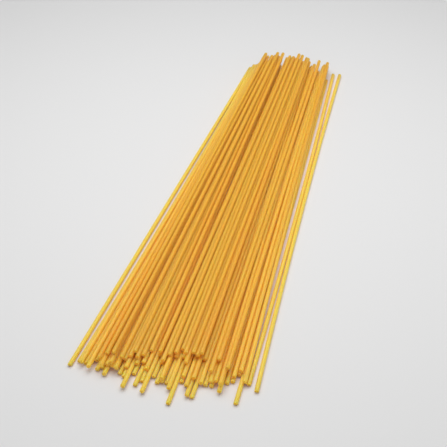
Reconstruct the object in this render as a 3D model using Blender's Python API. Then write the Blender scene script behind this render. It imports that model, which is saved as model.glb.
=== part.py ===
# A loose bundle of dry spaghetti lying on a flat surface, as one solid out to its uneven outline.
# Metres, +Z up. The strands run along Y: the fanned-out end is at -Y, the gathered end at +Y.
# Every strand is laid on the ones below it, so the heap has the hollows and steps of a real one.
# In the solid each strand is a loaf: round on top, with walls straight down to the surface.

import math

import bmesh
import bpy
import numpy as np
from mathutils import Matrix

MM = 0.001
SEED = 33

# One strand.
STRAND_LENGTH = 250 * MM
STRAND_DIAMETER = 1.8 * MM
STRAND_RADIUS = STRAND_DIAMETER / 2
LENGTH_SPREAD = 0.8 * MM
WOBBLE_LIMIT = 2.2
ARC_FACETS = 4

# Strands with a place of their own at the edges: near end and far end across the bundle, shift
# along it, bow and length. On the left the one apart and the one leaning on the bundle, on the
# right the inner one of a pair and the outermost one of the bundle.
EDGE_STRANDS = (
    (-36.6, -25.5, -2.2, 0.0, 250),
    (-33.8, -23.95, 0.5, 0.8, 250),
    (32.9, 21.9, 3.7, 0.7, 247),
    (30.1, 18.9, -5.5, 0.5, 250),
)
# A strand that bridges from the bundle to the pair, and the outer one of the pair.
RIGHT_STRANDS = (
    (31.5, 18.0, 4.7, 0.0, 250),
    (36.5, 25.5, 2.6, -1.1, 250),
)

# The bottom layer: strands side by side on the surface, from the left edge to the right one.
FLOOR_COUNT = 33
FLOOR_LEFT = -31.2 * MM
FLOOR_RIGHT = 28.3 * MM
FLOOR_GATHER = 0.655
FLOOR_OFFSET = -1.5 * MM
FLOOR_LAID_FIRST = 3
FLOOR_WOBBLE = 0.12 * MM
FLOOR_FAR_WOBBLE = 0.25 * MM
FLOOR_TIP_WOBBLE = 1.4 * MM
FLOOR_MOVES = {"slide": 0.3 * MM, "turn": 0.6 * MM, "stiffness": 0.3}

# How far the bottom strands stick out at the fanned end, by place across the bundle.
FLOOR_SHIFT_AT = np.array([-33.0, -20.0, -12.0, 12.0, 17.0, 24.0, 28.0]) * MM
FLOOR_SHIFT = np.array([0.5, -0.5, -2.0, -2.5, 0.5, 4.0, 7.0]) * MM
LONG_TIP_AT = np.array([-21.5, -11.9, -8.3, -5.5, 5.6, 11.0, 13.3, 23.0]) * MM
LONG_TIP_Y = np.array([-129.3, -133.7, -131.2, -133.7, -136.5, -131.4, -131.3, -127.2]) * MM
LONG_TIP_REACH = 0.93 * MM

# Strands thrown loosely over the bottom layer.
LOOSE_COUNT = 11
LOOSE_MIDDLE = (2.0 * MM, -3.5 * MM)
LOOSE_HALF_WIDTH = (21.0 * MM, 13.0 * MM)
LOOSE_FAR_WOBBLE = 0.6 * MM
LOOSE_SHIFT = (-2.0 * MM, 3.0 * MM)
LOOSE_TIP_WOBBLE = 1.5 * MM
LOOSE_MOVES = {"slide": 5 * MM, "turn": 1.5 * MM, "stiffness": 0.02}
LOOSE_BOW = 0.15 * MM

# Sheets of strands on top, with a valley between each two: the left and right side at the
# fanned end, the same at the gathered end, and how many strands the under and top layer have.
SHEETS = (
    ((-25.0, -7.4), (-18.0, -8.7), (7, 8)),
    ((-4.4, 7.2), (-5.2, 3.4), (5, 6)),
    ((9.9, 14.4), (6.0, 8.3), (1, 3)),
    ((17.4, 26.5), (10.8, 16.5), (0, 4)),
)
SHEET_MARGIN = 0.4 * MM
SHEET_MOVES = (
    {"slide": 1.2 * MM, "turn": 0.9 * MM, "stiffness": 0.08},
    {"slide": 0.6 * MM, "turn": 0.6 * MM, "stiffness": 0.08},
)
SHEET_TIP_WOBBLE = 1.2 * MM
SHEET_BOW = 0.12 * MM
UNDER_INSET = 0.16
UNDER_SET_BACK = (3.0 * MM, 0.8 * MM, 0.8 * MM, 0.8 * MM)
# Strands beside the sheets, laid with their top layer: near end and far end.
BESIDE_SHEETS = ((-32.1, -21.8), (-28.0, -20.2), (29.4, 18.2))
TOP_SHIFT_AT = np.array([-30.0, -25.0, -20.0, -12.0, -6.0, 0.0, 9.0,
                         10.5, 12.0, 15.0, 20.0, 26.0, 30.0]) * MM
TOP_SHIFT = np.array([-1.0, -0.5, 1.5, 5.0, 6.0, 5.0, 6.5,
                      6.0, 2.5, 2.5, 7.0, 5.5, 1.8]) * MM
# How much of a strand of the sheets is broken off at the fanned end.
BROKEN_AT = np.array([-31.0, -20.0, -12.0, -6.0, -3.5, -2.1, -0.7, 2.6,
                      4.9, 7.2, 9.9, 12.2, 14.4, 17.4, 20.4, 23.5, 30.0]) * MM
BROKEN = np.array([0.0, 0.5, 1.5, 4.0, 5.0, 0.0, 5.0, 4.5,
                   7.0, 3.5, 6.0, 7.5, 9.0, 3.0, 3.0, 1.0, 6.0]) * MM

# The stations along the bundle at which heights are compared, and the places tried for a strand
# that settles: first all over its reach, then close to the best of those.
STATION_COUNT = 26
STATION_END = 137 * MM
END_SLACK = 0.3 * MM
SEARCH_PASSES = ((1.0, 11), (0.15, 5))
FAR_FOLLOWS = 0.6

# The solid. A loaf is a little wider than its strand, so that strands side by side grow together.
LOAF_HALF_WIDTH = STRAND_RADIUS + 0.03 * MM
LOAF_DEPTH = 2 * MM
LOAF_DEPTH_STEP = 0.02 * MM
STRAIGHT_STEPS = 2
BOWED_STEPS = 6
LITTLE_BOW = 0.6 * MM
FLOOR_CUT_SIZE = 0.6
PASTA_COLOUR = (0.80, 0.44, 0.07, 1.0)
PASTA_ROUGHNESS = 0.55

stations = np.linspace(-STATION_END, STATION_END, STATION_COUNT)
along = (stations + STRAND_LENGTH / 2) / STRAND_LENGTH


def remove_everything():
    for item in list(bpy.data.objects):
        bpy.data.objects.remove(item, do_unlink=True)


def sideways(near, far, bow, part):
    """Place across the bundle of a strand's axis, at a part of the way along it."""
    return near * (1 - part) + far * part + bow * 4 * part * (1 - part)


class Pile:
    """Strands laid one after another, each resting on those below it."""

    def __init__(self, seed):
        self.random = np.random.default_rng(seed)
        self.strands = []
        self.x = np.zeros((0, STATION_COUNT))
        self.z = np.zeros((0, STATION_COUNT))
        self.present = np.zeros((0, STATION_COUNT), bool)

    def wobble(self, size):
        return float(np.clip(self.random.normal(), -WOBBLE_LIMIT, WOBBLE_LIMIT)) * size

    def needed_height(self, x, used):
        """Lowest axis height that clears the strands below, at each used station."""
        needed = np.full(x.shape, STRAND_RADIUS)
        if not self.strands:
            return needed
        gap = x[:, None, :] - self.x[None][:, :, used]
        touches = (np.abs(gap) < STRAND_DIAMETER) & self.present[None][:, :, used]
        rise = np.sqrt(np.maximum(STRAND_DIAMETER ** 2 - gap ** 2, 0))
        over = np.where(touches, self.z[None][:, :, used] + rise, STRAND_RADIUS)
        return np.maximum(needed, over.max(1))

    def resting_line(self, near, far, bow, shift, length):
        """Heights at mid-length, near end and far end of a strand lying on two supports."""
        used = np.where(np.abs(stations - shift) <= length / 2 + END_SLACK)[0]
        x = sideways(near[:, None], far[:, None], bow, along[None, used])
        needed = self.needed_height(x, used)
        y = stations[used]
        front = np.where(y <= shift)[0]
        back = np.where(y > shift)[0]
        y_front = y[front][None, :, None]
        y_back = y[back][None, None, :]
        z_front = needed[:, front][:, :, None]
        z_back = needed[:, back][:, None, :]
        middle = (z_front * (y_back - shift) + z_back * (shift - y_front)) / (y_back - y_front)
        best = np.round(middle, 9).reshape(len(near), -1).argmax(1)
        i_front, i_back = np.unravel_index(best, middle.shape[1:])
        row = np.arange(len(near))
        y1 = y[front][i_front]
        y2 = y[back][i_back]
        z1 = needed[row, front[i_front]]
        z2 = needed[row, back[i_back]]
        slope = (z2 - z1) / (y2 - y1)
        z_mid = z1 + slope * (shift - y1)
        z_near = z1 + slope * (-STRAND_LENGTH / 2 - y1)
        z_far = z1 + slope * (STRAND_LENGTH / 2 - y1)
        return z_mid, z_near, z_far

    def settle(self, near, far, bow, shift, length, slide, turn, stiffness, lane):
        """Let a strand roll and turn a little until it lies as low as it can."""
        best_near, best_far = near, far
        for part, steps in SEARCH_PASSES:
            slides = np.linspace(-slide * part, slide * part, steps)
            turns = np.linspace(-turn * part, turn * part, steps)
            moved, turned = [grid.ravel() for grid in np.meshgrid(slides, turns)]
            try_near = best_near + moved
            try_far = best_far + FAR_FOLLOWS * moved + turned
            if lane is not None:
                try_near = np.clip(try_near, *lane[0])
                try_far = np.clip(try_far, *lane[1])
            z_mid = self.resting_line(try_near, try_far, bow, shift, length)[0]
            effort = np.abs(try_near - near) + np.abs(try_far - far)
            choice = np.round(z_mid + stiffness * effort, 9).argmin()
            best_near, best_far = try_near[choice], try_far[choice]
        return best_near, best_far

    def lay(self, near, far, shift, bow=0.0, length=STRAND_LENGTH, slide=0.0, turn=0.0,
            stiffness=0.1, lane=None):
        if slide > 0:
            near, far = self.settle(near, far, bow, shift, length, slide, turn, stiffness, lane)
        near, far = round(float(near), 7), round(float(far), 7)
        heights = self.resting_line(np.array([near]), np.array([far]), bow, shift, length)
        z_near = max(round(float(heights[1][0]), 7), STRAND_RADIUS)
        z_far = max(round(float(heights[2][0]), 7), STRAND_RADIUS)
        self.x = np.vstack([self.x, sideways(near, far, bow, along)])
        self.z = np.vstack([self.z, z_near * (1 - along) + z_far * along])
        self.present = np.vstack([self.present, np.abs(stations - shift) <= length / 2 + END_SLACK])
        self.strands.append({
            "near": near, "far": far, "bow": bow, "z_near": z_near, "z_far": z_far,
            "shift": shift, "length": length})

    def any_length(self):
        return STRAND_LENGTH + self.wobble(LENGTH_SPREAD)


def lay_placed_strands(pile, strands):
    for near, far, shift, bow, length in strands:
        pile.lay(near * MM, far * MM, shift * MM, bow=bow * MM, length=length * MM)


def lay_floor_strands(pile):
    places = np.linspace(FLOOR_LEFT, FLOOR_RIGHT, FLOOR_COUNT)
    order = pile.random.permutation(FLOOR_COUNT)
    for i in sorted(order, key=lambda i: i % FLOOR_LAID_FIRST != 0):
        near = places[i] + pile.wobble(FLOOR_WOBBLE)
        shift = np.interp(near, FLOOR_SHIFT_AT, FLOOR_SHIFT) + pile.wobble(FLOOR_TIP_WOBBLE)
        long_tip = np.abs(LONG_TIP_AT - near) < LONG_TIP_REACH
        if long_tip.any():
            shift = LONG_TIP_Y[long_tip][0] + STRAND_LENGTH / 2
        far = FLOOR_GATHER * near + FLOOR_OFFSET + pile.wobble(FLOOR_FAR_WOBBLE)
        pile.lay(near, far, shift, bow=pile.wobble(LOOSE_BOW), length=pile.any_length(),
                 **FLOOR_MOVES)


def lay_loose_strands(pile):
    for _ in range(LOOSE_COUNT):
        place = pile.random.uniform(-1, 1)
        near = LOOSE_MIDDLE[0] + LOOSE_HALF_WIDTH[0] * place
        far = LOOSE_MIDDLE[1] + LOOSE_HALF_WIDTH[1] * place + pile.wobble(LOOSE_FAR_WOBBLE)
        shift = LOOSE_SHIFT[0] + LOOSE_SHIFT[1] * pile.random.random()
        shift += pile.wobble(LOOSE_TIP_WOBBLE)
        pile.lay(near, far, shift, bow=pile.wobble(LOOSE_BOW), length=pile.any_length(),
                 **LOOSE_MOVES)


def sheet_rows(layer):
    """Ends, lane and set-back of each strand in the under layer (0) or the top layer (1)."""
    rows = []
    for number, (near_sides, far_sides, counts) in enumerate(SHEETS):
        left, right = np.array(near_sides) * MM
        far_left, far_right = np.array(far_sides) * MM
        lane = ((left - SHEET_MARGIN, right + SHEET_MARGIN),
                (far_left - SHEET_MARGIN, far_right + SHEET_MARGIN))
        first = UNDER_INSET if layer == 0 and number == 0 else 0.0
        set_back = UNDER_SET_BACK[number] if layer == 0 else 0.0
        for place in np.linspace(first, 1, counts[layer]):
            rows.append((left + (right - left) * place,
                         far_left + (far_right - far_left) * place, lane, set_back))
    if layer == 1:
        rows.extend((near * MM, far * MM, None, 0.0) for near, far in BESIDE_SHEETS)
    return rows


def lay_sheets(pile):
    for layer, moves in enumerate(SHEET_MOVES):
        rows = sheet_rows(layer)
        for i in pile.random.permutation(len(rows)):
            near, far, lane, set_back = rows[i]
            broken = np.interp(near, BROKEN_AT, BROKEN)
            shift = np.interp(near, TOP_SHIFT_AT, TOP_SHIFT) + broken / 2 - set_back
            shift += pile.wobble(SHEET_TIP_WOBBLE)
            pile.lay(near, far, shift, bow=pile.wobble(SHEET_BOW),
                     length=pile.any_length() - broken, lane=lane, **moves)


def lay_bundle():
    pile = Pile(SEED)
    lay_placed_strands(pile, EDGE_STRANDS)
    lay_floor_strands(pile)
    lay_placed_strands(pile, RIGHT_STRANDS)
    lay_loose_strands(pile)
    lay_sheets(pile)
    return pile.strands


def axis_point(strand, y):
    part = (y + STRAND_LENGTH / 2) / STRAND_LENGTH
    x = sideways(strand["near"], strand["far"], strand["bow"], part)
    z = strand["z_near"] * (1 - part) + strand["z_far"] * part
    return x, z


def loaf_profile(strand, y, depth):
    """Section of a loaf at y: a round top and two walls that end below the surface."""
    x, z = axis_point(strand, y)
    points = [(x + LOAF_HALF_WIDTH, y, -depth)]
    for i in range(ARC_FACETS + 1):
        angle = math.pi * i / ARC_FACETS
        across = LOAF_HALF_WIDTH * math.cos(angle)
        points.append((x + across, y, z + STRAND_RADIUS * math.sin(angle)))
    points.append((x - LOAF_HALF_WIDTH, y, -depth))
    return points


def make_loaf(name, strand, depth, collection):
    """One strand's solid: its section is extruded along the strand in a few straight steps."""
    steps = BOWED_STEPS if abs(strand["bow"]) > LITTLE_BOW else STRAIGHT_STEPS
    start = strand["shift"] - strand["length"] / 2
    bm = bmesh.new()
    section = bm.faces.new([bm.verts.new(point) for point in loaf_profile(strand, start, depth)])
    for step in range(1, steps + 1):
        y = start + strand["length"] * step / steps
        made = bmesh.ops.extrude_face_region(bm, geom=[section])
        if step > 1:
            bmesh.ops.delete(bm, geom=[section], context="FACES_ONLY")
        section = [item for item in made["geom"] if isinstance(item, bmesh.types.BMFace)][0]
        for vert, point in zip(section.verts, loaf_profile(strand, y, depth)):
            vert.co = point
    bmesh.ops.recalc_face_normals(bm, faces=bm.faces)
    mesh = bpy.data.meshes.new(name)
    bm.to_mesh(mesh)
    bm.free()
    loaf = bpy.data.objects.new(name, mesh)
    collection.objects.link(loaf)
    return loaf


def hide_as_tool(item):
    item.hide_render = True
    item.display_type = "WIRE"


def pasta_material():
    material = bpy.data.materials.new("dry_pasta")
    material.use_nodes = True
    surface = material.node_tree.nodes["Principled BSDF"]
    surface.inputs["Base Color"].default_value = PASTA_COLOUR
    surface.inputs["Roughness"].default_value = PASTA_ROUGHNESS
    surface.inputs["Metallic"].default_value = 0.0
    return material


def centre_on_box(strands):
    """Move the strands so that the origin is at the bottom centre of the bundle's box."""
    ends = []
    for strand in strands:
        for side in (-1, 1):
            y = strand["shift"] + side * strand["length"] / 2
            ends.append((axis_point(strand, y)[0], y))
    ends = np.array(ends)
    return (ends.min(0) + ends.max(0)) / 2


def build():
    remove_everything()
    scene_collection = bpy.context.scene.collection
    tools = bpy.data.collections.new("strand_loaves")
    scene_collection.children.link(tools)
    strands = lay_bundle()
    middle = centre_on_box(strands)
    loaves = []
    for number, strand in enumerate(strands):
        depth = LOAF_DEPTH + LOAF_DEPTH_STEP * number
        home = scene_collection if number == 0 else tools
        loaf = make_loaf(f"loaf_{number}", strand, depth, home)
        loaf.data.transform(Matrix.Translation((-middle[0], -middle[1], 0)))
        loaves.append(loaf)
        if number > 0:
            hide_as_tool(loaf)
    bundle = loaves[0]
    bundle.name = "spaghetti_bundle"
    bundle.data.materials.append(pasta_material())
    join = bundle.modifiers.new("join", "BOOLEAN")
    join.operation = "UNION"
    join.solver = "EXACT"
    join.operand_type = "COLLECTION"
    join.collection = tools
    bpy.ops.mesh.primitive_cube_add(size=FLOOR_CUT_SIZE, location=(0, 0, -FLOOR_CUT_SIZE / 2))
    below = bpy.context.object
    below.name = "below_the_surface"
    hide_as_tool(below)
    cut = bundle.modifiers.new("flat_bottom", "BOOLEAN")
    cut.operation = "DIFFERENCE"
    cut.solver = "EXACT"
    cut.object = below


build()
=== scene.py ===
import math
import random

import bmesh
import bpy
import numpy as np
from mathutils import Matrix, Vector


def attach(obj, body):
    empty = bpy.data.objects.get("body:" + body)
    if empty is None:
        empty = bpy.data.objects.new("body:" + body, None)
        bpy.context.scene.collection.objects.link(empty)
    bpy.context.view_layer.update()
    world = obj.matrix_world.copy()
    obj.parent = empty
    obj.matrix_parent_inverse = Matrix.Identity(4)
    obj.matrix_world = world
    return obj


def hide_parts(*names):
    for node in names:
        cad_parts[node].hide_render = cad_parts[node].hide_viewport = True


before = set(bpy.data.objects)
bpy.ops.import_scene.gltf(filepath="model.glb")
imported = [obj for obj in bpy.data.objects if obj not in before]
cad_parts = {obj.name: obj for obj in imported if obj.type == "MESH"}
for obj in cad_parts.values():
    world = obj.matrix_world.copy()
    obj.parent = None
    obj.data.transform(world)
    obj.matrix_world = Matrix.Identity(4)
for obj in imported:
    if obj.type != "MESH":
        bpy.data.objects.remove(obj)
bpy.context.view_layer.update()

mm = 0.001

# one strand of pasta
strand = {
    "length": 250 * mm,
    "radius": 0.9 * mm,
    "lengthSpread": 0.8 * mm,
    "wobbleLimit": 2.2,  # the most a random wobble may be, in times its usual size
    "sides": 14,
    "rings": 20,
    "rimBevel": 0.16 * mm,
    "dimpleInset": 0.42 * mm,
    "dimpleDepth": 0.02 * mm,
    "endTilt": 0.09,  # slope of a cut end
    "swellWaves": (90, 230, 370),  # waves of thickness along the strand, in radians a metre
    "swell": 0.006,  # how much each of them thickens it
}

# how the strands are laid, in the same order and with the same numbers as the solid bundle;
# heights are compared at stations along the bundle
heap = {
    "seed": 33,
    "stationCount": 26,
    "stationEnd": 137 * mm,
    "endSlack": 0.3 * mm,
    "searchPasses": ((1.0, 11), (0.15, 5)),  # reach and steps of the coarse and the fine search
    "farFollows": 0.6,  # how much of a slide at the near end the far end makes too
}

# strands with a place of their own: near end, far end, shift along the bundle, bow and length,
# all in millimetres
edgeStrands = (
    (-36.6, -25.5, -2.2, 0.0, 250),
    (-33.8, -23.95, 0.5, 0.8, 250),
    (32.9, 21.9, 3.7, 0.7, 247),
    (30.1, 18.9, -5.5, 0.5, 250),
)
rightStrands = (
    (31.5, 18.0, 4.7, 0.0, 250),
    (36.5, 25.5, 2.6, -1.1, 250),
)

# the layer on the floor
floorLayer = {
    "count": 33,
    "left": -31.2 * mm,
    "right": 28.3 * mm,
    "gather": 0.655,  # how much narrower the far end is
    "offset": -1.5 * mm,
    "laidFirst": 3,
    "wobble": 0.12 * mm,
    "farWobble": 0.25 * mm,
    "tipWobble": 1.4 * mm,
    "moves": {"slide": 0.3 * mm, "turn": 0.6 * mm, "stiffness": 0.3},
    "bow": 0.15 * mm,
    "shiftAt": np.array([-33.0, -20.0, -12.0, 12.0, 17.0, 24.0, 28.0]) * mm,
    "shift": np.array([0.5, -0.5, -2.0, -2.5, 0.5, 4.0, 7.0]) * mm,
    "longTipAt": np.array([-21.5, -11.9, -8.3, -5.5, 5.6, 11.0, 13.3, 23.0]) * mm,
    "longTipY": np.array([-129.3, -133.7, -131.2, -133.7, -136.5, -131.4, -131.3, -127.2]) * mm,
    "longTipReach": 0.93 * mm,
}

# strands thrown over it; pairs are for the near and the far end
looseLayer = {
    "count": 11,
    "middle": (2.0 * mm, -3.5 * mm),
    "halfWidth": (21.0 * mm, 13.0 * mm),
    "farWobble": 0.6 * mm,
    "leastShift": -2.0 * mm,
    "shiftSpread": 3.0 * mm,
    "tipWobble": 1.5 * mm,
    "moves": {"slide": 5 * mm, "turn": 1.5 * mm, "stiffness": 0.02},
    "bow": 0.15 * mm,
}

# sheets of strands on top, in millimetres: left and right side at the near end, the same at the
# far end, and the number of strands in the under layer and the top one; some of these strands
# are broken off a little short at the fanned end
topLayers = {
    "sheets": (
        ((-25.0, -7.4), (-18.0, -8.7), (7, 8)),
        ((-4.4, 7.2), (-5.2, 3.4), (5, 6)),
        ((9.9, 14.4), (6.0, 8.3), (1, 3)),
        ((17.4, 26.5), (10.8, 16.5), (0, 4)),
    ),
    "margin": 0.4 * mm,
    "moves": (
        {"slide": 1.2 * mm, "turn": 0.9 * mm, "stiffness": 0.08},
        {"slide": 0.6 * mm, "turn": 0.6 * mm, "stiffness": 0.08},
    ),
    "tipWobble": 1.2 * mm,
    "bow": 0.12 * mm,
    "underInset": 0.16,
    "underSetBack": (3.0 * mm, 0.8 * mm, 0.8 * mm, 0.8 * mm),
    "beside": ((-32.1, -21.8), (-28.0, -20.2), (29.4, 18.2)),  # single strands, near and far
    "shiftAt": np.array([-30.0, -25.0, -20.0, -12.0, -6.0, 0.0, 9.0,
                         10.5, 12.0, 15.0, 20.0, 26.0, 30.0]) * mm,
    "shift": np.array([-1.0, -0.5, 1.5, 5.0, 6.0, 5.0, 6.5,
                       6.0, 2.5, 2.5, 7.0, 5.5, 1.8]) * mm,
    "brokenAt": np.array([-31.0, -20.0, -12.0, -6.0, -3.5, -2.1, -0.7, 2.6,
                          4.9, 7.2, 9.9, 12.2, 14.4, 17.4, 20.4, 23.5, 30.0]) * mm,
    "broken": np.array([0.0, 0.5, 1.5, 4.0, 5.0, 0.0, 5.0, 4.5,
                        7.0, 3.5, 6.0, 7.5, 9.0, 3.0, 3.0, 1.0, 6.0]) * mm,
}

stations = np.linspace(-heap["stationEnd"], heap["stationEnd"], heap["stationCount"])
along = (stations + strand["length"] / 2) / strand["length"]  # 0 at the near end, 1 at the far end


def sideways(near, far, bow, part):
    # place across the bundle of a strand's axis, part of the way along it; a bow is widest
    # at mid-length
    return near * (1 - part) + far * part + bow * 4 * part * (1 - part)


# the strands laid so far, with each one's place across and height at every station
class Pile:
    def __init__(self, seed):
        self.random = np.random.default_rng(seed)
        self.strands = []
        self.x = np.zeros((0, heap["stationCount"]))
        self.z = np.zeros((0, heap["stationCount"]))
        self.present = np.zeros((0, heap["stationCount"]), bool)

    def wobble(self, size):
        limit = strand["wobbleLimit"]
        return float(np.clip(self.random.normal(), -limit, limit)) * size

    def anyLength(self):
        return strand["length"] + self.wobble(strand["lengthSpread"])

    def neededHeight(self, x, used):
        # lowest axis height that clears the strands below, at each used station
        needed = np.full(x.shape, strand["radius"])
        if not self.strands:
            return needed
        diameter = 2 * strand["radius"]
        gap = x[:, None, :] - self.x[None][:, :, used]
        touches = (np.abs(gap) < diameter) & self.present[None][:, :, used]
        rise = np.sqrt(np.maximum(diameter ** 2 - gap ** 2, 0))
        over = np.where(touches, self.z[None][:, :, used] + rise, strand["radius"])
        return np.maximum(needed, over.max(1))

    def restingLine(self, near, far, bow, shift, length):
        # heights at mid-length, near end and far end of a strand that lies on two supports
        halfLength = strand["length"] / 2
        used = np.where(np.abs(stations - shift) <= length / 2 + heap["endSlack"])[0]
        x = sideways(near[:, None], far[:, None], bow, along[None, used])
        needed = self.neededHeight(x, used)
        y = stations[used]
        front = np.where(y <= shift)[0]
        back = np.where(y > shift)[0]
        yFront = y[front][None, :, None]
        yBack = y[back][None, None, :]
        zFront = needed[:, front][:, :, None]
        zBack = needed[:, back][:, None, :]
        middle = (zFront * (yBack - shift) + zBack * (shift - yFront)) / (yBack - yFront)
        best = np.round(middle, 9).reshape(len(near), -1).argmax(1)
        iFront, iBack = np.unravel_index(best, middle.shape[1:])
        row = np.arange(len(near))
        y1 = y[front][iFront]
        y2 = y[back][iBack]
        z1 = needed[row, front[iFront]]
        z2 = needed[row, back[iBack]]
        slope = (z2 - z1) / (y2 - y1)
        zMid = z1 + slope * (shift - y1)
        return zMid, z1 + slope * (-halfLength - y1), z1 + slope * (halfLength - y1)

    def settle(self, near, far, bow, shift, length, slide, turn, stiffness, lane):
        # a strand rolls and turns a little until it lies as low as it can
        bestNear = near
        bestFar = far
        for part, steps in heap["searchPasses"]:
            slides = np.linspace(-slide * part, slide * part, steps)
            turns = np.linspace(-turn * part, turn * part, steps)
            moved, turned = [grid.ravel() for grid in np.meshgrid(slides, turns)]
            tryNear = bestNear + moved
            tryFar = bestFar + heap["farFollows"] * moved + turned
            if lane is not None:
                tryNear = np.clip(tryNear, *lane[0])
                tryFar = np.clip(tryFar, *lane[1])
            zMid = self.restingLine(tryNear, tryFar, bow, shift, length)[0]
            effort = np.abs(tryNear - near) + np.abs(tryFar - far)
            choice = np.round(zMid + stiffness * effort, 9).argmin()
            bestNear = tryNear[choice]
            bestFar = tryFar[choice]
        return bestNear, bestFar

    def lay(self, near, far, shift, bow=0.0, length=strand["length"], slide=0.0, turn=0.0,
            stiffness=0.1, lane=None):
        if slide > 0:
            near, far = self.settle(near, far, bow, shift, length, slide, turn, stiffness, lane)
        near = round(float(near), 7)
        far = round(float(far), 7)
        heights = self.restingLine(np.array([near]), np.array([far]), bow, shift, length)
        zNear = max(round(float(heights[1][0]), 7), strand["radius"])
        zFar = max(round(float(heights[2][0]), 7), strand["radius"])
        isThere = np.abs(stations - shift) <= length / 2 + heap["endSlack"]
        self.x = np.vstack([self.x, sideways(near, far, bow, along)])
        self.z = np.vstack([self.z, zNear * (1 - along) + zFar * along])
        self.present = np.vstack([self.present, isThere])
        self.strands.append({
            "near": near, "far": far, "bow": bow, "zNear": zNear, "zFar": zFar,
            "shift": shift, "length": length})


def layPlacedStrands(pile, rows):
    for near, far, shift, bow, length in rows:
        pile.lay(near * mm, far * mm, shift * mm, bow=bow * mm, length=length * mm)


def layFloorStrands(pile):
    places = np.linspace(floorLayer["left"], floorLayer["right"], floorLayer["count"])
    order = pile.random.permutation(floorLayer["count"])
    for i in sorted(order, key=lambda i: i % floorLayer["laidFirst"] != 0):
        near = places[i] + pile.wobble(floorLayer["wobble"])
        shift = np.interp(near, floorLayer["shiftAt"], floorLayer["shift"])
        shift += pile.wobble(floorLayer["tipWobble"])
        longTip = np.abs(floorLayer["longTipAt"] - near) < floorLayer["longTipReach"]
        if longTip.any():
            shift = floorLayer["longTipY"][longTip][0] + strand["length"] / 2
        far = floorLayer["gather"] * near + floorLayer["offset"]
        far += pile.wobble(floorLayer["farWobble"])
        pile.lay(near, far, shift, bow=pile.wobble(floorLayer["bow"]), length=pile.anyLength(),
                 **floorLayer["moves"])


def layLooseStrands(pile):
    for _ in range(looseLayer["count"]):
        place = pile.random.uniform(-1, 1)
        near = looseLayer["middle"][0] + looseLayer["halfWidth"][0] * place
        far = looseLayer["middle"][1] + looseLayer["halfWidth"][1] * place
        far += pile.wobble(looseLayer["farWobble"])
        shift = looseLayer["leastShift"] + looseLayer["shiftSpread"] * pile.random.random()
        shift += pile.wobble(looseLayer["tipWobble"])
        pile.lay(near, far, shift, bow=pile.wobble(looseLayer["bow"]), length=pile.anyLength(),
                 **looseLayer["moves"])


def sheetRows(layer):
    # ends, lane and set-back of each strand in the under layer (0) or the top layer (1)
    rows = []
    margin = topLayers["margin"]
    for number, (nearSides, farSides, counts) in enumerate(topLayers["sheets"]):
        left, right = np.array(nearSides) * mm
        farLeft, farRight = np.array(farSides) * mm
        lane = ((left - margin, right + margin), (farLeft - margin, farRight + margin))
        first = topLayers["underInset"] if layer == 0 and number == 0 else 0.0
        setBack = topLayers["underSetBack"][number] if layer == 0 else 0.0
        for place in np.linspace(first, 1, counts[layer]):
            near = left + (right - left) * place
            rows.append((near, farLeft + (farRight - farLeft) * place, lane, setBack))
    if layer == 1:
        rows.extend((near * mm, far * mm, None, 0.0) for near, far in topLayers["beside"])
    return rows


def laySheets(pile):
    for layer, moves in enumerate(topLayers["moves"]):
        rows = sheetRows(layer)
        for i in pile.random.permutation(len(rows)):
            near, far, lane, setBack = rows[i]
            broken = np.interp(near, topLayers["brokenAt"], topLayers["broken"])
            shift = np.interp(near, topLayers["shiftAt"], topLayers["shift"]) + broken / 2 - setBack
            shift += pile.wobble(topLayers["tipWobble"])
            pile.lay(near, far, shift, bow=pile.wobble(topLayers["bow"]),
                     length=pile.anyLength() - broken, lane=lane, **moves)


def layBundle():
    pile = Pile(heap["seed"])
    layPlacedStrands(pile, edgeStrands)
    layFloorStrands(pile)
    layPlacedStrands(pile, rightStrands)
    layLooseStrands(pile)
    laySheets(pile)
    return pile.strands


def axisPoint(row, y):
    # point on a strand's axis, at a place along the bundle
    part = (y + strand["length"] / 2) / strand["length"]
    x = sideways(row["near"], row["far"], row["bow"], part)
    z = row["zNear"] * (1 - part) + row["zFar"] * part
    return Vector((x, y, z))


def bundleMiddle(rows):
    # middle of the box round the ends of all the strands
    ends = []
    for row in rows:
        for side in (-1, 1):
            ends.append(axisPoint(row, row["shift"] + side * row["length"] / 2)[:2])
    ends = np.array(ends)
    middle = (ends.min(0) + ends.max(0)) / 2
    return Vector((middle[0], middle[1], 0))


strandRows = layBundle()
middle = bundleMiddle(strandRows)
print("laid", len(strandRows), "strands")


# the mesh of one straight strand, which every strand starts from
def straightStrand():
    bm = bmesh.new()
    lying = Matrix.Rotation(math.radians(90), 4, "X")
    bmesh.ops.create_cone(bm, cap_ends=True, segments=strand["sides"], radius1=strand["radius"],
                          radius2=strand["radius"], depth=strand["length"], matrix=lying)
    longEdges = [e for e in bm.edges if e.calc_length() > strand["length"] / 2]
    bmesh.ops.subdivide_edges(bm, edges=longEdges, cuts=strand["rings"] - 1, use_grid_fill=True)
    rims = [e for e in bm.edges if any(len(f.verts) > 4 for f in e.link_faces)]
    bmesh.ops.bevel(bm, geom=rims, offset=strand["rimBevel"], segments=1, profile=0.5,
                    affect="EDGES", material=-1)
    cuts = [f for f in bm.faces if len(f.verts) > 4]
    inner = bmesh.ops.inset_individual(bm, faces=cuts, thickness=strand["dimpleInset"],
                                       depth=-strand["dimpleDepth"])
    for face in bm.faces:
        face.smooth = True
    for face in cuts + inner["faces"]:
        face.material_index = 1
        face.smooth = False
    bmesh.ops.recalc_face_normals(bm, faces=bm.faces)
    mesh = bpy.data.meshes.new("straightStrand")
    bm.to_mesh(mesh)
    bm.free()
    return mesh


# each strand has a strip of its own on the map: the side in the middle of the strip, and the
# cut ends at its two ends
strandMap = {
    "sideReach": 0.485,
    "sideHeight": 0.88,
    "cutPlace": 0.494,
    "cutWidth": 0.0038,
    "cutHeight": 0.38,
}


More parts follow.
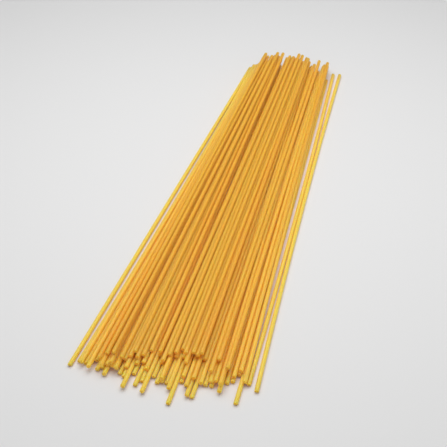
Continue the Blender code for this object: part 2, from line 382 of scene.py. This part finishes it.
def mapPlace(place, faceMiddle, isCut, number, count):
    # where a face corner goes on the map
    strip = 1 / count
    halfLength = strand["length"] / 2
    if isCut:
        side = 1 if faceMiddle.y > 0 else -1
        across = place.x / strand["radius"]
        upward = place.z / strand["radius"]
        u = 0.5 + side * strandMap["cutPlace"] + strandMap["cutWidth"] * across
        v = 0.5 + strandMap["cutHeight"] * upward
    else:
        u = 0.5 + strandMap["sideReach"] * place.y / halfLength
        around = math.atan2(place.x, -place.z) / math.tau
        middleAround = math.atan2(faceMiddle.x, -faceMiddle.z) / math.tau
        if around - middleAround > 0.5:
            around -= 1
        if middleAround - around > 0.5:
            around += 1
        v = 0.5 + strandMap["sideHeight"] * around
    return u, (number + v) * strip


# strands bow a little, are a little thicker here and there, and are cut at a slight slant
def placeStrand(verts, row, chance):
    stretch = row["length"] / strand["length"]
    turns = chance.uniform(0, math.tau)
    waves = [(wave, chance.uniform(0, math.tau)) for wave in strand["swellWaves"]]
    slants = [(chance.gauss(0, strand["endTilt"]), chance.gauss(0, strand["endTilt"]))
              for _ in range(2)]
    lastRing = strand["length"] * (0.5 - 0.5 / strand["rings"])  # only the ends lie past this
    spin = Matrix.Rotation(turns, 3, "Y")
    for vert in verts:
        place = spin @ vert.co
        swell = sum(math.sin(start + place.y * wave) for wave, start in waves)
        offset = Vector((place.x, 0, place.z)) * (1 + strand["swell"] * swell)
        y = row["shift"] + place.y * stretch
        if abs(place.y) > lastRing:
            slant = slants[0] if place.y < 0 else slants[1]
            y += place.x * slant[0] + place.z * slant[1]
        vert.co = axisPoint(row, y) + offset - middle


def joinStrands(rows):
    # every strand in one mesh; each point keeps its place on the straight strand, for the grain
    pattern = straightStrand()
    bm = bmesh.new()
    stripMap = bm.loops.layers.uv.new("OFBake")
    placeLayer = bm.verts.layers.float_vector.new("strandPlace")
    toneLayer = bm.verts.layers.float.new("strandTone")
    chance = random.Random(heap["seed"])
    for number, row in enumerate(rows):
        oldVerts = len(bm.verts)
        oldFaces = len(bm.faces)
        bm.from_mesh(pattern)
        bm.verts.ensure_lookup_table()
        bm.faces.ensure_lookup_table()
        verts = bm.verts[oldVerts:]
        tone = chance.random()
        for vert in verts:
            vert[placeLayer] = vert.co
            vert[toneLayer] = tone
        for face in bm.faces[oldFaces:]:
            faceMiddle = face.calc_center_median()
            isCut = face.material_index == 1
            for loop in face.loops:
                loop[stripMap].uv = mapPlace(loop.vert.co, faceMiddle, isCut, number, len(rows))
        placeStrand(verts, row, chance)
    mesh = bpy.data.meshes.new("spaghettiStrands")
    bm.to_mesh(mesh)
    bm.free()
    bpy.data.meshes.remove(pattern)
    piece = bpy.data.objects.new("spaghettiStrands", mesh)
    bpy.context.scene.collection.objects.link(piece)
    return piece


# looks of dry pasta: its side first, then its cut ends
pastaLook = {
    "paleTone": (0.795, 0.372, 0.034, 1),
    "midTone": (0.775, 0.342, 0.028, 1),
    "deepTone": (0.755, 0.308, 0.022, 1),
    "paintedFloorLightTone": (0.99, 0.56, 0.088, 1),  # painted light: strands low down are painted paler, for the floor lighting them from below
    "paintedFloorLightReach": (1.8 * mm, 6.5 * mm),
    "paintedFloorLightPart": 1.0,
    "streakTone": (0.90, 0.385, 0.035, 1),
    "streakRange": (0.42, 0.75),
    "streakPart": 0.15,
    "cloudRange": (0.5, 0.75),
    "cloudPart": 0.30,
    "tipReach": 5 * mm,
    "tipPart": 0.45,
    "dustTone": (0.93, 0.76, 0.42, 1),
    "dust": 0.10,
    "grain": {"streak scale": 900, "streak stretch": 0.03, "grain scale": 2600},
    "roughRange": (0.35, 0.65),
    "roughness": (0.38, 0.55),
    "bumpDepth": 0.02 * mm,
    "cutTone": (0.92, 0.48, 0.08, 1),
    "cutDeepTone": (0.88, 0.41, 0.05, 1),
    "crumbRange": (0.35, 0.65),
    "cutDust": 0.6,
    "cutGrain": {"streak scale": 1500, "streak stretch": 1.0, "grain scale": 4200},
    "cutRoughness": (0.70, 0.85),
    "cutBumpDepth": 0.12 * mm,
    "glowDepth": 5.0 * mm,
    "glowColours": (1.0, 0.70, 0.25),
    "glow": 1.0,
    "shine": 0.3,
    "sheen": 0.60,  # the floury surface brightens the sides of a strand
    "sheenRoughness": 0.5,
    "sheenTone": (1.0, 0.66, 0.13, 1),
}

# the patterns behind them
pastaPattern = {
    "strandShift": 61.7,  # moves each strand to a place of its own in the patterns
    "streaks": {"Detail": 3, "Roughness": 0.55},
    "clouds": {"Scale": 55, "Detail": 2, "Roughness": 0.5},
    "grain": {"Detail": 4, "Roughness": 0.65},
    "dustRange": (0.60, 0.74),
    "grainInHeight": 0.45,
}


def addNode(tree, kind, place, **inputs):
    node = tree.nodes.new(kind)
    node.location = place
    for name, value in inputs.items():
        node.inputs[name].default_value = value
    return node


def addMath(tree, operation, place, value):
    node = addNode(tree, "ShaderNodeMath", place)
    node.operation = operation
    tree.links.new(value, node.inputs[0])
    return node


def mapValue(tree, place, value, fromRange, toRange=(0.0, 1.0)):
    node = addNode(tree, "ShaderNodeMapRange", place)
    node.inputs["From Min"].default_value = fromRange[0]
    node.inputs["From Max"].default_value = fromRange[1]
    node.inputs["To Min"].default_value = toRange[0]
    node.inputs["To Max"].default_value = toRange[1]
    tree.links.new(value, node.inputs["Value"])
    return node.outputs["Result"]


def mixColours(tree, place, factor, first, second):
    node = tree.nodes.new("ShaderNodeMix")
    node.data_type = "RGBA"
    node.location = place
    sockets = (node.inputs[0], node.inputs[6], node.inputs[7])  # factor and the two colours
    for socket, value in zip(sockets, (factor, first, second)):
        if isinstance(value, tuple):
            socket.default_value = value
        else:
            tree.links.new(value, socket)
    return node.outputs[2]


def addNoise(tree, place, spot, shift, **inputs):
    noise = addNode(tree, "ShaderNodeTexNoise", place, **inputs)
    noise.noise_dimensions = "4D"
    tree.links.new(spot, noise.inputs["Vector"])
    tree.links.new(shift, noise.inputs["W"])
    return noise


# fine streaks along the strand, clouds, grain and flour dust, worked out on the straight strand
def makePastaGrain():
    group = bpy.data.node_groups.new("pastaGrain", "ShaderNodeTree")
    sockets = group.interface
    sockets.new_socket("place", in_out="INPUT", socket_type="NodeSocketVector")
    for name in ("strand", "streak scale", "streak stretch", "grain scale"):
        sockets.new_socket(name, in_out="INPUT", socket_type="NodeSocketFloat")
    for name in ("streaks", "clouds", "dust", "height"):
        sockets.new_socket(name, in_out="OUTPUT", socket_type="NodeSocketFloat")
    links = group.links
    given = addNode(group, "NodeGroupInput", (-900, 0))
    result = addNode(group, "NodeGroupOutput", (700, 0))
    place = given.outputs["place"]
    moved = addMath(group, "MULTIPLY", (-700, -200), given.outputs["strand"])
    moved.inputs[1].default_value = pastaPattern["strandShift"]
    shift = moved.outputs[0]
    squeeze = addNode(group, "ShaderNodeCombineXYZ", (-700, 150), X=1, Z=1)
    links.new(given.outputs["streak stretch"], squeeze.inputs["Y"])
    stretched = addNode(group, "ShaderNodeVectorMath", (-500, 150))
    stretched.operation = "MULTIPLY"
    links.new(place, stretched.inputs[0])
    links.new(squeeze.outputs[0], stretched.inputs[1])
    streaks = addNoise(group, (-250, 250), stretched.outputs[0], shift, **pastaPattern["streaks"])
    links.new(given.outputs["streak scale"], streaks.inputs["Scale"])
    clouds = addNoise(group, (-250, 0), place, shift, **pastaPattern["clouds"])
    grain = addNoise(group, (-250, -250), place, shift, **pastaPattern["grain"])
    links.new(given.outputs["grain scale"], grain.inputs["Scale"])
    dust = mapValue(group, (0, -250), grain.outputs[0], pastaPattern["dustRange"])
    height = addNode(group, "ShaderNodeMix", (250, 0), Factor=pastaPattern["grainInHeight"])
    links.new(streaks.outputs[0], height.inputs["A"])
    links.new(grain.outputs[0], height.inputs["B"])
    links.new(streaks.outputs[0], result.inputs["streaks"])
    links.new(clouds.outputs[0], result.inputs["clouds"])
    links.new(dust, result.inputs["dust"])
    links.new(height.outputs[0], result.inputs["height"])
    return group


def startPasta(name, grain, grainValues):
    # a new material with the strand's place and tone and the grain in it
    material = bpy.data.materials.new(name)
    material.use_nodes = True
    tree = material.node_tree
    place = addNode(tree, "ShaderNodeAttribute", (-1200, 100))
    place.attribute_name = "strandPlace"
    tone = addNode(tree, "ShaderNodeAttribute", (-1200, -100))
    tone.attribute_name = "strandTone"
    detail = addNode(tree, "ShaderNodeGroup", (-950, 0))
    detail.node_tree = grain
    for socket, value in grainValues.items():
        detail.inputs[socket].default_value = value
    tree.links.new(place.outputs["Vector"], detail.inputs["place"])
    tree.links.new(tone.outputs["Fac"], detail.inputs["strand"])
    return material, detail, place, tone


def finishPasta(material, colour, detail, roughness, bumpDepth):
    tree = material.node_tree
    shader = tree.nodes["Principled BSDF"]
    tree.links.new(colour, shader.inputs["Base Color"])
    rough = mapValue(tree, (-450, -100), detail.outputs["height"], pastaLook["roughRange"], roughness)
    tree.links.new(rough, shader.inputs["Roughness"])
    bump = addNode(tree, "ShaderNodeBump", (-200, -250), Strength=1.0, Distance=bumpDepth)
    tree.links.new(detail.outputs["height"], bump.inputs["Height"])
    tree.links.new(bump.outputs[0], shader.inputs["Normal"])
    shader.inputs["Subsurface Weight"].default_value = pastaLook["glow"]
    shader.inputs["Subsurface Radius"].default_value = pastaLook["glowColours"]
    shader.inputs["Subsurface Scale"].default_value = pastaLook["glowDepth"]
    shader.inputs["Specular IOR Level"].default_value = pastaLook["shine"]
    shader.inputs["Sheen Weight"].default_value = pastaLook["sheen"]
    shader.inputs["Sheen Roughness"].default_value = pastaLook["sheenRoughness"]
    shader.inputs["Sheen Tint"].default_value = pastaLook["sheenTone"]
    return material


def strandTones(tree, tone):
    # a strand's own tone, from deep to pale
    tones = addNode(tree, "ShaderNodeValToRGB", (-700, 300))
    ramp = tones.color_ramp
    ramp.elements[0].color = pastaLook["deepTone"]
    ramp.elements[1].color = pastaLook["paleTone"]
    ramp.elements.new(0.5).color = pastaLook["midTone"]
    tree.links.new(tone.outputs["Fac"], tones.inputs["Fac"])
    return tones.outputs["Color"]


def tipMask(tree, place):
    # the last bit of a strand before its cut end
    split = addNode(tree, "ShaderNodeSeparateXYZ", (-950, 400))
    tree.links.new(place.outputs["Vector"], split.inputs[0])
    outward = addMath(tree, "ABSOLUTE", (-780, 480), split.outputs["Y"])
    halfLength = strand["length"] / 2
    return mapValue(tree, (-600, 480), outward.outputs[0],
                    (halfLength - pastaLook["tipReach"], halfLength), (0.0, pastaLook["tipPart"]))


def paintedFloorLightMask(tree):
    # painted floor light: the nearer the floor a strand lies, the paler it is painted
    spot = addNode(tree, "ShaderNodeTexCoord", (-950, 650))
    height = addNode(tree, "ShaderNodeSeparateXYZ", (-780, 650))
    tree.links.new(spot.outputs["Object"], height.inputs[0])
    return mapValue(tree, (-600, 650), height.outputs["Z"], pastaLook["paintedFloorLightReach"],
                    (pastaLook["paintedFloorLightPart"], 0.0))


def makeDryPasta(grain):
    material, detail, place, tone = startPasta("dryPasta", grain, pastaLook["grain"])
    tree = material.node_tree
    streaks = mapValue(tree, (-700, 50), detail.outputs["streaks"], pastaLook["streakRange"],
                       (0.0, pastaLook["streakPart"]))
    clouds = mapValue(tree, (-700, -100), detail.outputs["clouds"], pastaLook["cloudRange"],
                      (0.0, pastaLook["cloudPart"]))
    dust = mapValue(tree, (-700, -250), detail.outputs["dust"], (0.0, 1.0), (0.0, pastaLook["dust"]))
    colour = strandTones(tree, tone)
    colour = mixColours(tree, (-450, 200), streaks, colour, pastaLook["streakTone"])
    colour = mixColours(tree, (-280, 200), clouds, colour, pastaLook["paleTone"])
    colour = mixColours(tree, (-110, 300), tipMask(tree, place), colour, pastaLook["cutTone"])
    # painted floor light: strands near the floor get a paler colour painted on, for light from the
    # floor below
    colour = mixColours(tree, (-30, 400), paintedFloorLightMask(tree), colour, pastaLook["paintedFloorLightTone"])
    colour = mixColours(tree, (60, 200), dust, colour, pastaLook["dustTone"])
    return finishPasta(material, colour, detail, pastaLook["roughness"], pastaLook["bumpDepth"])


def makeCutPasta(grain):
    material, detail = startPasta("cutPasta", grain, pastaLook["cutGrain"])[:2]
    tree = material.node_tree
    crumbs = mapValue(tree, (-700, 100), detail.outputs["streaks"], pastaLook["crumbRange"])
    dust = mapValue(tree, (-700, -100), detail.outputs["dust"], (0.0, 1.0), (0.0, pastaLook["cutDust"]))
    colour = mixColours(tree, (-450, 200), crumbs, pastaLook["cutDeepTone"], pastaLook["cutTone"])
    colour = mixColours(tree, (-250, 200), dust, colour, pastaLook["dustTone"])
    return finishPasta(material, colour, detail, pastaLook["cutRoughness"], pastaLook["cutBumpDepth"])


strands = joinStrands(strandRows)
pastaGrain = makePastaGrain()
strands.data.materials.append(makeDryPasta(pastaGrain))
strands.data.materials.append(makeCutPasta(pastaGrain))
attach(strands, "root")
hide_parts("spaghetti_bundle")
print("strands joined:", len(strands.data.polygons), "faces, with", len(strands.data.materials),
      "materials")


# floor, light and camera
studio = {
    "floorSize": 30.0,
    "floorTone": (0.70, 0.70, 0.70, 1),
    "floorRoughness": 0.7,
    "worldTone": (1.0, 1.0, 1.0, 1),
    "worldStrength": 0.365,
    "key": {"energy": 1.69, "size": 0.50, "place": (-0.012, 0.045, 0.40)},
    "fill": {"energy": 1.2, "size": 0.7, "place": (0.26, -1.0, 0.38)},
    "diffuseBounces": 16,  # light passes through many strands before it leaves the heap
    "allBounces": 20,
    "cameraTurn": 14.83,  # degrees to the right of the fanned end
    "cameraRise": 37.0,  # degrees above the floor
    "cameraDistance": 468.6 * mm,
    "cameraTarget": (-2.62 * mm, -21.38 * mm, 0),
    "lens": 82.23,
    "sensorWidth": 36,
    "clipStart": 0.01,
    "clipEnd": 20,
}


def addFloor():
    bm = bmesh.new()
    bmesh.ops.create_grid(bm, x_segments=2, y_segments=2, size=studio["floorSize"] / 2)
    mesh = bpy.data.meshes.new("studioFloor")
    bm.to_mesh(mesh)
    bm.free()
    floor = bpy.data.objects.new("studioFloor", mesh)
    bpy.context.scene.collection.objects.link(floor)
    material = bpy.data.materials.new("paleFloor")
    material.use_nodes = True
    shader = material.node_tree.nodes["Principled BSDF"]
    shader.inputs["Base Color"].default_value = studio["floorTone"]
    shader.inputs["Roughness"].default_value = studio["floorRoughness"]
    mesh.materials.append(material)


def addWorld():
    world = bpy.data.worlds.new("softStudio")
    bpy.context.scene.world = world
    world.use_nodes = True
    background = world.node_tree.nodes["Background"]
    background.inputs["Color"].default_value = studio["worldTone"]
    background.inputs["Strength"].default_value = studio["worldStrength"]


def addLight(name):
    values = studio[name]
    lamp = bpy.data.lights.new(name, "AREA")
    lamp.shape = "DISK"
    lamp.size = values["size"]
    lamp.energy = values["energy"]
    light = bpy.data.objects.new(name, lamp)
    light.location = values["place"]
    light.rotation_euler = (-Vector(values["place"])).to_track_quat("-Z", "Y").to_euler()
    bpy.context.scene.collection.objects.link(light)


def addCamera():
    turn = math.radians(studio["cameraTurn"])
    rise = math.radians(studio["cameraRise"])
    level = math.cos(rise)
    back = Vector((math.sin(turn) * level, -math.cos(turn) * level, math.sin(rise)))
    lens = bpy.data.cameras.new("studioCamera")
    lens.lens = studio["lens"]
    lens.sensor_width = studio["sensorWidth"]
    lens.clip_start = studio["clipStart"]
    lens.clip_end = studio["clipEnd"]
    camera = bpy.data.objects.new("studioCamera", lens)
    camera.location = Vector(studio["cameraTarget"]) + back * studio["cameraDistance"]
    camera.rotation_euler = (-back).to_track_quat("-Z", "Y").to_euler()
    bpy.context.scene.collection.objects.link(camera)
    bpy.context.scene.camera = camera


addFloor()
addWorld()
addLight("key")
addLight("fill")
addCamera()
bpy.context.scene.view_settings.view_transform = "Standard"
bpy.context.scene.cycles.diffuse_bounces = studio["diffuseBounces"]
bpy.context.scene.cycles.max_bounces = studio["allBounces"]
print("studio ready")
